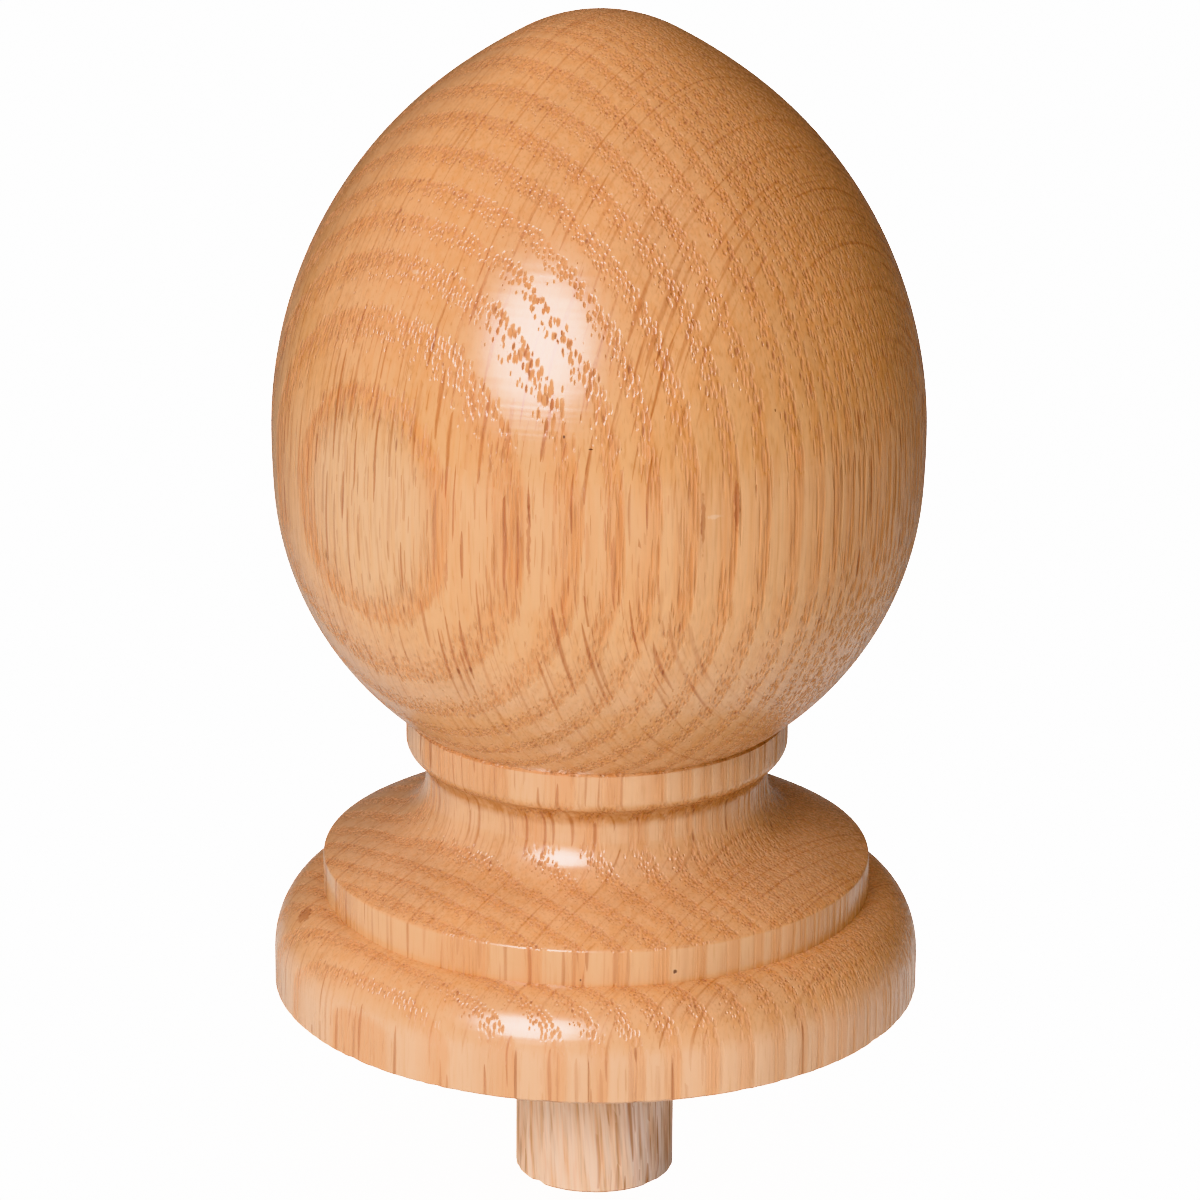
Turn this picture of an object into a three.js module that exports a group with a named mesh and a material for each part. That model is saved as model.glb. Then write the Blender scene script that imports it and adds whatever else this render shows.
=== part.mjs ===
// Turned newel-post finial in oak: a tall egg on a collar and a ringed base, with a glued dowel
// in the underside that pins it to the top of the post.
import * as THREE from 'three'

// Driving dimensions in millimetres. Heights run upwards from the seat, the flat underside
// that rests on the post.

// The base
const BASE_RADIUS = 38.4
const BASE_WALL_HEIGHT = 4.3
const SEAT_EDGE_BREAK = 0.3
const SHOULDER_HEIGHT = 7.9
const DISC_RADIUS = 32.5
const DISC_SIDE_HEIGHT = 4.55
const DISC_ARRIS_RADIUS = 0.5

// The slope from the disc into the neck
const SLOPE_ARC_RADIUS = 39
const COVE_ARC_RADIUS = 6.4
const COVE_CENTRE_ABOVE_DISC = 9.4

// The neck and the collar
const NECK_RADIUS = 20.3
const NECK_STRAIGHT = 0.8
const UNDERCUT_ARC_RADIUS = 3
const COLLAR_RADIUS = 22.65
const COLLAR_WALL_HEIGHT = 3.35
const COLLAR_EDGE_RADIUS = 1.95
const COLLAR_EDGE_TURN = THREE.MathUtils.degToRad(45)
const COLLAR_RIM_WIDTH = 0.25

// The egg, as arcs that run into one another from the tip down to the collar
const EGG_RADIUS = 38.25
const TIP_ARC_RADIUS = 19.4
const CROWN_ARC_RADIUS = 70
const BELLY_ARC_RADIUS = 52.4
const BELLY_TURN = THREE.MathUtils.degToRad(51.4)
const WAIST_ARC_RADIUS = 101
const WAIST_TURN = THREE.MathUtils.degToRad(4.1)
const UNDER_ARC_RADIUS = 37.4

// The dowel and its blind hole
const DOWEL_RADIUS = 9.5
const DOWEL_SHOWN_LENGTH = 24.4
const DOWEL_GLUED_LENGTH = 20
const DOWEL_END_BEVEL = 0.4
const GLUE_CLEARANCE = 0.3

// Fineness of the faceted solids: the sides of each round, and how far a chord may leave its arc
const SIDES = 60
const CHORD_SAG = 0.04
const SMALLEST_ARC_STEPS = 2

// A point on an ellipse about the centre. Angles turn from the outward direction upwards.
function onEllipse(centre, reach, rise, angle) {
  return new THREE.Vector2(centre.x + reach * Math.cos(angle), centre.y + rise * Math.sin(angle))
}

function onCircle(centre, radius, angle) {
  return onEllipse(centre, radius, radius, angle)
}

// Points on an elliptical arc, both ends included.
function ellipsePoints(centre, reach, rise, startAngle, endAngle) {
  const turn = endAngle - startAngle
  const largestStep = 2 * Math.acos(1 - Math.min(1, CHORD_SAG / Math.max(reach, rise)))
  const steps = Math.max(SMALLEST_ARC_STEPS, Math.ceil(Math.abs(turn) / largestStep))
  const points = []
  for (let i = 0; i <= steps; i += 1) {
    points.push(onEllipse(centre, reach, rise, startAngle + (turn * i) / steps))
  }
  return points
}

function arcPoints(centre, radius, startAngle, endAngle) {
  return ellipsePoints(centre, radius, radius, startAngle, endAngle)
}

// The centre of an arc that leaves another arc smoothly at the given angle.
function smoothCentre(centre, radius, angle, nextRadius) {
  return onCircle(onCircle(centre, radius, angle), -nextRadius, angle)
}

// The crossing of two circles that lies lower and nearer to the axis.
function lowerCrossing(centreA, radiusA, centreB, radiusB) {
  const between = centreB.clone().sub(centreA)
  const distance = between.length()
  const along = (distance ** 2 + radiusA ** 2 - radiusB ** 2) / (2 * distance)
  const aside = Math.sqrt(radiusA ** 2 - along ** 2)
  const unit = between.divideScalar(distance)
  const foot = centreA.clone().addScaledVector(unit, along)
  return foot.addScaledVector(new THREE.Vector2(-unit.y, unit.x), aside)
}

// Adds points to an outline, and leaves out one that repeats the last point.
function extend(outline, points) {
  const coincident = 1e-6
  for (const point of points) {
    const last = outline[outline.length - 1]
    if (!last || last.distanceTo(point) > coincident) outline.push(point)
  }
}

// A round solid from its half outline, which starts and ends on the axis and is listed upwards.
function turnedSolid(name, outline, material) {
  const geometry = new THREE.LatheGeometry(outline, SIDES)
  geometry.rotateX(Math.PI / 2)
  const mesh = new THREE.Mesh(geometry, material)
  mesh.name = name
  return mesh
}

// The blind hole, the seat, the wall and the quarter round up to the foot of the disc.
function baseOutline() {
  const holeRadius = DOWEL_RADIUS + GLUE_CLEARANCE
  const holeDepth = DOWEL_GLUED_LENGTH + GLUE_CLEARANCE
  const outline = [
    new THREE.Vector2(0, holeDepth),
    new THREE.Vector2(holeRadius, holeDepth),
    new THREE.Vector2(holeRadius, 0),
    new THREE.Vector2(BASE_RADIUS - SEAT_EDGE_BREAK, 0),
    new THREE.Vector2(BASE_RADIUS, SEAT_EDGE_BREAK),
  ]
  const shoulderCentre = new THREE.Vector2(DISC_RADIUS, BASE_WALL_HEIGHT)
  const shoulderReach = BASE_RADIUS - DISC_RADIUS
  extend(outline, ellipsePoints(shoulderCentre, shoulderReach, SHOULDER_HEIGHT, 0, Math.PI / 2))
  return outline
}

// The disc's side, its rounded arris, the swelling slope and the cove up to the neck.
function slopeOutline(footHeight) {
  const outline = []
  const arrisCentre = new THREE.Vector2(
    DISC_RADIUS - DISC_ARRIS_RADIUS,
    footHeight + DISC_SIDE_HEIGHT - DISC_ARRIS_RADIUS,
  )
  const coveCentre = new THREE.Vector2(
    NECK_RADIUS + COVE_ARC_RADIUS,
    footHeight + DISC_SIDE_HEIGHT + COVE_CENTRE_ABOVE_DISC,
  )
  const slopeCentre = lowerCrossing(
    arrisCentre,
    SLOPE_ARC_RADIUS - DISC_ARRIS_RADIUS,
    coveCentre,
    SLOPE_ARC_RADIUS + COVE_ARC_RADIUS,
  )
  const arrisAngle = arrisCentre.clone().sub(slopeCentre).angle()
  const coveAngle = coveCentre.clone().sub(slopeCentre).angle()
  extend(outline, arcPoints(arrisCentre, DISC_ARRIS_RADIUS, 0, arrisAngle))
  extend(outline, arcPoints(slopeCentre, SLOPE_ARC_RADIUS, arrisAngle, coveAngle))
  extend(outline, arcPoints(coveCentre, COVE_ARC_RADIUS, Math.PI + coveAngle, Math.PI))
  return outline
}

// The short straight of the neck, the undercut and the collar with its rounded lower edge.
function collarOutline(coveTop) {
  const outline = []
  const neckTop = coveTop + NECK_STRAIGHT
  const edgeInset = COLLAR_EDGE_RADIUS * (1 - Math.cos(COLLAR_EDGE_TURN))
  const undercutReach = COLLAR_RADIUS - edgeInset - NECK_RADIUS
  const undercutTurn = Math.acos(1 - undercutReach / UNDERCUT_ARC_RADIUS)
  const undercutCentre = new THREE.Vector2(NECK_RADIUS + UNDERCUT_ARC_RADIUS, neckTop)
  extend(outline, arcPoints(undercutCentre, UNDERCUT_ARC_RADIUS, Math.PI, Math.PI - undercutTurn))
  const edgeBottom = neckTop + UNDERCUT_ARC_RADIUS * Math.sin(undercutTurn)
  const edgeTop = edgeBottom + COLLAR_EDGE_RADIUS * Math.sin(COLLAR_EDGE_TURN)
  const edgeCentre = new THREE.Vector2(COLLAR_RADIUS - COLLAR_EDGE_RADIUS, edgeTop)
  extend(outline, arcPoints(edgeCentre, COLLAR_EDGE_RADIUS, -COLLAR_EDGE_TURN, 0))
  extend(outline, [new THREE.Vector2(COLLAR_RADIUS, edgeTop + COLLAR_WALL_HEIGHT)])
  return outline
}

// The egg from its crease on the collar up to the tip on the axis.
function eggOutline(creaseHeight) {
  const creaseRadius = COLLAR_RADIUS - COLLAR_RIM_WIDTH
  const waistCentre = new THREE.Vector2(EGG_RADIUS - WAIST_ARC_RADIUS, 0)
  const underCentre = smoothCentre(waistCentre, WAIST_ARC_RADIUS, -WAIST_TURN, UNDER_ARC_RADIUS)
  const creaseAngle = -Math.acos((creaseRadius - underCentre.x) / UNDER_ARC_RADIUS)
  const bellyCentre = new THREE.Vector2(EGG_RADIUS - BELLY_ARC_RADIUS, 0)
  const crownCentre = smoothCentre(bellyCentre, BELLY_ARC_RADIUS, BELLY_TURN, CROWN_ARC_RADIUS)
  const tipRise = Math.sqrt((CROWN_ARC_RADIUS - TIP_ARC_RADIUS) ** 2 - crownCentre.x ** 2)
  const tipCentre = new THREE.Vector2(0, crownCentre.y + tipRise)
  const tipAngle = tipCentre.clone().sub(crownCentre).angle()
  const outline = []
  extend(outline, arcPoints(underCentre, UNDER_ARC_RADIUS, creaseAngle, -WAIST_TURN))
  extend(outline, arcPoints(waistCentre, WAIST_ARC_RADIUS, -WAIST_TURN, 0))
  extend(outline, arcPoints(bellyCentre, BELLY_ARC_RADIUS, 0, BELLY_TURN))
  extend(outline, arcPoints(crownCentre, CROWN_ARC_RADIUS, BELLY_TURN, tipAngle))
  extend(outline, arcPoints(tipCentre, TIP_ARC_RADIUS, tipAngle, Math.PI / 2))
  outline[outline.length - 1].x = 0
  const lift = creaseHeight - outline[0].y
  return outline.map((point) => new THREE.Vector2(point.x, point.y + lift))
}

// The egg, collar and base, turned from one block.
function finialBody() {
  const outline = baseOutline()
  extend(outline, slopeOutline(outline[outline.length - 1].y))
  extend(outline, collarOutline(outline[outline.length - 1].y))
  extend(outline, eggOutline(outline[outline.length - 1].y))
  const material = new THREE.MeshStandardMaterial({ color: 0xdca271, roughness: 0.25, metalness: 0 })
  return turnedSolid('finial_body', outline, material)
}

// The plain dowel, bevelled at both ends.
function dowel() {
  const bevelled = DOWEL_RADIUS - DOWEL_END_BEVEL
  const outline = [
    new THREE.Vector2(0, -DOWEL_SHOWN_LENGTH),
    new THREE.Vector2(bevelled, -DOWEL_SHOWN_LENGTH),
    new THREE.Vector2(DOWEL_RADIUS, DOWEL_END_BEVEL - DOWEL_SHOWN_LENGTH),
    new THREE.Vector2(DOWEL_RADIUS, DOWEL_GLUED_LENGTH - DOWEL_END_BEVEL),
    new THREE.Vector2(bevelled, DOWEL_GLUED_LENGTH),
    new THREE.Vector2(0, DOWEL_GLUED_LENGTH),
  ]
  const material = new THREE.MeshStandardMaterial({ color: 0xdcb08a, roughness: 0.8, metalness: 0 })
  return turnedSolid('dowel', outline, material)
}

// The finial stands on the flat end of its dowel, with the origin at that end's centre.
const finial = new THREE.Group()
finial.add(finialBody(), dowel())
finial.position.z = DOWEL_SHOWN_LENGTH

export default finial
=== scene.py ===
# Turned newel finial in red oak: the fine surface, the grain under its lacquer, the bare dowel,
# and the studio. Lengths are millimetres until a mesh is made, and heights in the outline run
# upwards from the seat, the flat underside that rests on the post.
import math
from dataclasses import dataclass

import bpy
from mathutils import Matrix, Vector, noise


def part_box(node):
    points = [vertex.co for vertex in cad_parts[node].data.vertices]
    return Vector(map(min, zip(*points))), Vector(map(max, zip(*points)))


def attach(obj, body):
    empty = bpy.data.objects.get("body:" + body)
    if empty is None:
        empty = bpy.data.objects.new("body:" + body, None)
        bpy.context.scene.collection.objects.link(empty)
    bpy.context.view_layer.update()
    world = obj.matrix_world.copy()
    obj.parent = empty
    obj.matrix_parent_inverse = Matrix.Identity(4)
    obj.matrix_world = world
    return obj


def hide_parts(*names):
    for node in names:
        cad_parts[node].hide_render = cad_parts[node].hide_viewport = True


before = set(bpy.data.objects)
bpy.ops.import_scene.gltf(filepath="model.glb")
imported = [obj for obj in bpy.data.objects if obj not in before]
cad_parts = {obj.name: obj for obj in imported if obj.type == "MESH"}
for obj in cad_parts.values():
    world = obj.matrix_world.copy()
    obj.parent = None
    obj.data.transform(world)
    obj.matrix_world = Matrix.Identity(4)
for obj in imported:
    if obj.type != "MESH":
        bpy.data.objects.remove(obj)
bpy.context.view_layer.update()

METRES = 0.001
INTO_MILLIMETRES = (1 / METRES, 1 / METRES, 1 / METRES)


def in_mm(point):
    return Vector(point) / METRES


BODY_LOW, BODY_HIGH = (in_mm(corner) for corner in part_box("finial_body"))
DOWEL_HIGH = in_mm(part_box("dowel")[1])

# Sizes that the frame gives
SEAT_ABOVE_FLOOR = BODY_LOW.z
BASE_RADIUS = BODY_HIGH.x
DOWEL_RADIUS = DOWEL_HIGH.x
DOWEL_LENGTH = DOWEL_HIGH.z
DOWEL_GLUED_LENGTH = DOWEL_LENGTH - SEAT_ABOVE_FLOOR

# The base, as in the solids
BASE_WALL_HEIGHT = 4.3
SEAT_EDGE_BREAK = 0.3
SHOULDER_HEIGHT = 7.9
DISC_RADIUS = 32.5
DISC_SIDE_HEIGHT = 4.55
DISC_ARRIS_RADIUS = 0.5
SLOPE_ARC_RADIUS = 39
COVE_ARC_RADIUS = 6.4
COVE_CENTRE_ABOVE_DISC = 9.4

# The neck and the collar, as in the solids
NECK_RADIUS = 20.3
NECK_STRAIGHT = 0.8
UNDERCUT_ARC_RADIUS = 3
COLLAR_RADIUS = 22.65
COLLAR_WALL_HEIGHT = 3.35
COLLAR_EDGE_RADIUS = 1.95
COLLAR_EDGE_TURN = math.radians(45)
COLLAR_RIM_WIDTH = 0.25

# The egg, as in the solids
EGG_RADIUS = 38.25
TIP_ARC_RADIUS = 19.4
CROWN_ARC_RADIUS = 70
BELLY_ARC_RADIUS = 52.4
BELLY_TURN = math.radians(51.4)
WAIST_ARC_RADIUS = 101
WAIST_TURN = math.radians(4.1)
UNDER_ARC_RADIUS = 37.4

# The dowel and its blind hole, as in the solids
DOWEL_END_BEVEL = 0.4
GLUE_CLEARANCE = 0.3

# Fineness of the turned meshes: the sides of each round, and the longest steps on its outline
BODY_SIDES = 352
DOWEL_SIDES = 240
STEP_ON_ARCS = 0.95
STEP_ON_WALLS = 1.2
STEP_ON_SEAT = 3 * STEP_ON_WALLS
STEP_ON_EDGES = 0.22
STEP_ON_UNDERCUT = 2 * STEP_ON_EDGES
STEP_ON_ARRIS = STEP_ON_EDGES / 2
FEWEST_STEPS_ON_ARC = 2
COINCIDENT = 1e-6
SHARP_EDGE_TURN = math.radians(28)


# Outlines of the turned pieces, as points (radius, height)

def on_ellipse(centre, reach, rise, angle):
    return Vector((centre[0] + reach * math.cos(angle), centre[1] + rise * math.sin(angle)))


def on_circle(centre, radius, angle):
    return on_ellipse(centre, radius, radius, angle)


def ellipse_points(centre, reach, rise, start, end, step=STEP_ON_ARCS):
    """Points on an elliptical arc, both ends included."""
    count = max(FEWEST_STEPS_ON_ARC, math.ceil(abs(end - start) * max(reach, rise) / step))
    angles = [start + (end - start) * i / count for i in range(count + 1)]
    return [on_ellipse(centre, reach, rise, angle) for angle in angles]


def arc_points(centre, radius, start, end, step=STEP_ON_ARCS):
    return ellipse_points(centre, radius, radius, start, end, step)


def wall_points(start, end, step=STEP_ON_WALLS):
    """Points along a straight stretch, both ends included."""
    start, end = Vector(start), Vector(end)
    count = max(1, math.ceil((end - start).length / step))
    return [start.lerp(end, i / count) for i in range(count + 1)]


def smooth_centre(centre, radius, angle, next_radius):
    """The centre of an arc that leaves another arc smoothly at the given angle."""
    return on_circle(on_circle(centre, radius, angle), -next_radius, angle)


def lower_crossing(centre_a, radius_a, centre_b, radius_b):
    """The crossing of two circles that lies lower and nearer to the axis."""
    between = Vector(centre_b) - Vector(centre_a)
    distance = between.length
    along = (distance ** 2 + radius_a ** 2 - radius_b ** 2) / (2 * distance)
    aside = math.sqrt(radius_a ** 2 - along ** 2)
    unit = between / distance
    return Vector(centre_a) + unit * along + Vector((-unit.y, unit.x)) * aside


def angle_from(centre, point):
    return math.atan2(point[1] - centre[1], point[0] - centre[0])


def extend(outline, points):
    """Adds points to an outline, and leaves out one that repeats the last point."""
    for point in points:
        point = Vector(point)
        if not outline or (outline[-1] - point).length > COINCIDENT:
            outline.append(point)


def base_outline():
    """The blind hole, the seat, the wall and the quarter round up to the foot of the disc."""
    hole_radius = DOWEL_RADIUS + GLUE_CLEARANCE
    hole_depth = DOWEL_GLUED_LENGTH + GLUE_CLEARANCE
    outline = []
    extend(outline, wall_points((0, hole_depth), (hole_radius, hole_depth), hole_radius))
    extend(outline, wall_points((hole_radius, hole_depth), (hole_radius, 0), hole_depth))
    extend(outline, wall_points((hole_radius, 0), (BASE_RADIUS - SEAT_EDGE_BREAK, 0), STEP_ON_SEAT))
    extend(outline, wall_points(outline[-1], (BASE_RADIUS, SEAT_EDGE_BREAK), STEP_ON_EDGES))
    extend(outline, wall_points(outline[-1], (BASE_RADIUS, BASE_WALL_HEIGHT)))
    shoulder_centre = (DISC_RADIUS, BASE_WALL_HEIGHT)
    reach = BASE_RADIUS - DISC_RADIUS
    extend(outline, ellipse_points(shoulder_centre, reach, SHOULDER_HEIGHT, 0, math.pi / 2))
    return outline


def slope_outline(foot_height):
    """The disc's side, its rounded arris, the swelling slope and the cove up to the neck."""
    disc_top = foot_height + DISC_SIDE_HEIGHT
    arris_centre = (DISC_RADIUS - DISC_ARRIS_RADIUS, disc_top - DISC_ARRIS_RADIUS)
    cove_centre = (NECK_RADIUS + COVE_ARC_RADIUS, disc_top + COVE_CENTRE_ABOVE_DISC)
    slope_centre = lower_crossing(
        arris_centre,
        SLOPE_ARC_RADIUS - DISC_ARRIS_RADIUS,
        cove_centre,
        SLOPE_ARC_RADIUS + COVE_ARC_RADIUS,
    )
    arris_angle = angle_from(slope_centre, arris_centre)
    cove_angle = angle_from(slope_centre, cove_centre)
    outline = []
    extend(outline, wall_points((DISC_RADIUS, foot_height), (DISC_RADIUS, arris_centre[1])))
    extend(outline, arc_points(arris_centre, DISC_ARRIS_RADIUS, 0, arris_angle, STEP_ON_ARRIS))
    extend(outline, arc_points(slope_centre, SLOPE_ARC_RADIUS, arris_angle, cove_angle))
    extend(outline, arc_points(cove_centre, COVE_ARC_RADIUS, math.pi + cove_angle, math.pi))
    return outline


def collar_outline(cove_top):
    """The short straight of the neck, the undercut and the collar with its rounded lower edge.
    The collar's narrow rim is sanded to a slope, where the solids leave it flat."""
    neck_top = cove_top + NECK_STRAIGHT
    edge_inset = COLLAR_EDGE_RADIUS * (1 - math.cos(COLLAR_EDGE_TURN))
    undercut_reach = COLLAR_RADIUS - edge_inset - NECK_RADIUS
    undercut_turn = math.acos(1 - undercut_reach / UNDERCUT_ARC_RADIUS)
    undercut_end = math.pi - undercut_turn
    undercut_centre = (NECK_RADIUS + UNDERCUT_ARC_RADIUS, neck_top)
    undercut = arc_points(
        undercut_centre,
        UNDERCUT_ARC_RADIUS,
        math.pi,
        undercut_end,
        STEP_ON_UNDERCUT,
    )
    edge_bottom = neck_top + UNDERCUT_ARC_RADIUS * math.sin(undercut_turn)
    edge_top = edge_bottom + COLLAR_EDGE_RADIUS * math.sin(COLLAR_EDGE_TURN)
    edge_centre = (COLLAR_RADIUS - COLLAR_EDGE_RADIUS, edge_top)
    collar_top = edge_top + COLLAR_WALL_HEIGHT
    outline = []
    extend(outline, undercut)
    extend(outline, arc_points(edge_centre, COLLAR_EDGE_RADIUS, -COLLAR_EDGE_TURN, 0, STEP_ON_EDGES))
    extend(outline, wall_points(outline[-1], (COLLAR_RADIUS, collar_top - COLLAR_RIM_WIDTH)))
    extend(outline, [(COLLAR_RADIUS - COLLAR_RIM_WIDTH, collar_top)])
    return outline


def egg_outline(crease_height):
    """The egg from its crease on the collar up to the tip on the axis."""
    crease_radius = COLLAR_RADIUS - COLLAR_RIM_WIDTH
    waist_centre = (EGG_RADIUS - WAIST_ARC_RADIUS, 0)
    under_centre = smooth_centre(waist_centre, WAIST_ARC_RADIUS, -WAIST_TURN, UNDER_ARC_RADIUS)
    crease_angle = -math.acos((crease_radius - under_centre.x) / UNDER_ARC_RADIUS)
    belly_centre = (EGG_RADIUS - BELLY_ARC_RADIUS, 0)
    crown_centre = smooth_centre(belly_centre, BELLY_ARC_RADIUS, BELLY_TURN, CROWN_ARC_RADIUS)
    tip_rise = math.sqrt((CROWN_ARC_RADIUS - TIP_ARC_RADIUS) ** 2 - crown_centre.x ** 2)
    tip_centre = Vector((0, crown_centre.y + tip_rise))
    tip_angle = angle_from(crown_centre, tip_centre)
    outline = []
    extend(outline, arc_points(under_centre, UNDER_ARC_RADIUS, crease_angle, -WAIST_TURN))
    extend(outline, arc_points(waist_centre, WAIST_ARC_RADIUS, -WAIST_TURN, 0))
    extend(outline, arc_points(belly_centre, BELLY_ARC_RADIUS, 0, BELLY_TURN))
    extend(outline, arc_points(crown_centre, CROWN_ARC_RADIUS, BELLY_TURN, tip_angle))
    extend(outline, arc_points(tip_centre, TIP_ARC_RADIUS, tip_angle, math.pi / 2))
    outline[-1].x = 0
    lift = crease_height - outline[0].y
    return [Vector((point.x, point.y + lift)) for point in outline]


def body_outline():
    outline = base_outline()
    extend(outline, slope_outline(outline[-1].y))
    extend(outline, collar_outline(outline[-1].y))
    extend(outline, egg_outline(outline[-1].y))
    return outline


def dowel_outline():
    """The dowel from its flat foot, with its bevelled edges, up to its end in the blind hole."""
    bevelled = DOWEL_RADIUS - DOWEL_END_BEVEL
    foot = -SEAT_ABOVE_FLOOR
    outline = []
    extend(outline, wall_points((0, foot), (bevelled, foot)))
    extend(outline, wall_points(outline[-1], (DOWEL_RADIUS, foot + DOWEL_END_BEVEL), STEP_ON_EDGES))
    extend(outline, wall_points(outline[-1], (DOWEL_RADIUS, DOWEL_GLUED_LENGTH - DOWEL_END_BEVEL)))
    extend(outline, wall_points(outline[-1], (bevelled, DOWEL_GLUED_LENGTH), STEP_ON_EDGES))
    extend(outline, wall_points(outline[-1], (0, DOWEL_GLUED_LENGTH)))
    return outline


# Turned meshes. The map unrolls a piece: once round it sideways, and along its outline upwards.
BAKING_MAP = "OFBake"


def turned_mesh(name, outline, sides, worn):
    """A closed mesh round the axis. worn moves each point, given its radius, height and angle."""
    verts = []
    rows = []
    for point in outline:
        count = 1 if point.x < COINCIDENT else sides
        row = []
        for i in range(count):
            angle = 2 * math.pi * i / sides
            radius, height = worn(point.x, point.y, angle)
            above_floor = height + SEAT_ABOVE_FLOOR
            place = Vector((radius * math.cos(angle), radius * math.sin(angle), above_floor))
            row.append(len(verts))
            verts.append(place * METRES)
        rows.append(row)
    run = [0.0]
    for start, end in zip(outline, outline[1:]):
        run.append(run[-1] + (end - start).length)
    faces = []
    unrolled = []
    for k, (low, high) in enumerate(zip(rows, rows[1:])):
        below, above = run[k] / run[-1], run[k + 1] / run[-1]
        for i in range(sides):
            left, right = i / sides, (i + 1) / sides
            corners = [
                (low[i % len(low)], (left, below)),
                (low[(i + 1) % len(low)], (right, below)),
                (high[(i + 1) % len(high)], (right, above)),
                (high[i % len(high)], (left, above)),
            ]
            if len(low) == 1:
                del corners[1]
            if len(high) == 1:
                del corners[-1]
            faces.append([vertex for vertex, _ in corners])
            unrolled.extend(place for _, place in corners)
    mesh = bpy.data.meshes.new(name)
    mesh.from_pydata(verts, [], faces)
    baking_map = mesh.uv_layers.new(name=BAKING_MAP)
    for corner, place in zip(baking_map.data, unrolled):
        corner.uv = place
    mesh.validate()
    mesh.shade_smooth()
    mesh.set_sharp_from_angle(angle=SHARP_EDGE_TURN)
    piece = bpy.data.objects.new(name, mesh)
    bpy.context.scene.collection.objects.link(piece)
    return piece


def around(angle, rise, waves):
    """Smooth noise from -1 to 1 that closes round the axis, with so many waves a radian."""
    return noise.noise(Vector((math.cos(angle) * waves, math.sin(angle) * waves, rise)))


def faded(value, nothing, full):
    """How far a value has gone from nothing to full, from 0 to 1 and smoothly."""
    share = min(1.0, max(0.0, (value - nothing) / (full - nothing)))
    return share * share * (3 - 2 * share)


# Wear of the meshes. Every change goes inwards, so that the pieces stay inside the solids' box.

@dataclass
class Wear:
    """Hollows round the axis, where noise rises above a level. Its pattern changes upwards by
    the climb. Depth in millimetres, waves a radian."""
    depth: float
    waves: float
    level: float
    seed: float
    climb: float = 0.0

    def at(self, angle, height):
        risen = around(angle, height * self.climb + self.seed, self.waves) - self.level
        return self.depth * max(0.0, risen)


# The unevenness that sanding leaves on the body, which its blind hole is left out of
HAND_WOBBLE = 0.03
WOBBLE_WAVES = 2.0
WOBBLE_CLIMB = 0.1
WOBBLE_SEED = 3.0
UNWORN_WITHIN = DOWEL_RADIUS + 1

# Torn fibres along the seat's edge
COARSE_TEARS = Wear(depth=0.28, waves=26, level=0.12, seed=11.0)
FINE_TEARS = Wear(depth=0.14, waves=70, level=0.1, seed=17.0)
TEARS_REACH_IN = 1
TEARS_REACH_UP = 0.9
TEARS_SLANT = 0.4

# The dowel's rough side, and the bruised fibres at its foot
DOWEL_RIDGES = Wear(depth=0.05, waves=14, level=0.0, seed=5.0, climb=0.02)
DOWEL_BRUISES = Wear(depth=0.35, waves=6, level=0.0, seed=23.0)
BRUISES_REACH_IN = 1
BRUISES_REACH_UP = 1.2
BRUISES_SLANT = 0.3


def worn_body(radius, height, angle):
    """Torn fibres along the seat's edge, and the slight unevenness that sanding leaves."""
    if radius < UNWORN_WITHIN:
        return radius, height
    wobble = around(angle, height * WOBBLE_CLIMB + WOBBLE_SEED, WOBBLE_WAVES)
    uneven = HAND_WOBBLE * (0.5 + 0.5 * wobble)
    if height > TEARS_REACH_UP or radius < BASE_RADIUS - TEARS_REACH_IN:
        return radius - uneven, height
    share = faded(height, TEARS_REACH_UP, 0)
    share *= faded(radius, BASE_RADIUS - TEARS_REACH_IN, BASE_RADIUS - SEAT_EDGE_BREAK)
    torn = share * (COARSE_TEARS.at(angle, height) + FINE_TEARS.at(angle, height))
    return radius - uneven - TEARS_SLANT * torn, height + torn


def worn_dowel(radius, height, angle):
    """A slightly rough side, with the fibres bruised at the foot's edge."""
    if radius < DOWEL_RADIUS - BRUISES_REACH_IN or height > 0:
        return radius, height
    ridges = DOWEL_RIDGES.at(angle, height)
    bruised = DOWEL_BRUISES.at(angle, height)
    bruised *= faded(height, BRUISES_REACH_UP - SEAT_ABOVE_FLOOR, -SEAT_ABOVE_FLOOR)
    return radius - ridges - bruised, height + BRUISES_SLANT * bruised


# Materials, one node at a time

NOISE_MIDDLE = 0.5


def colour(red, green, blue):
    return (red, green, blue, 1.0)


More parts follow.
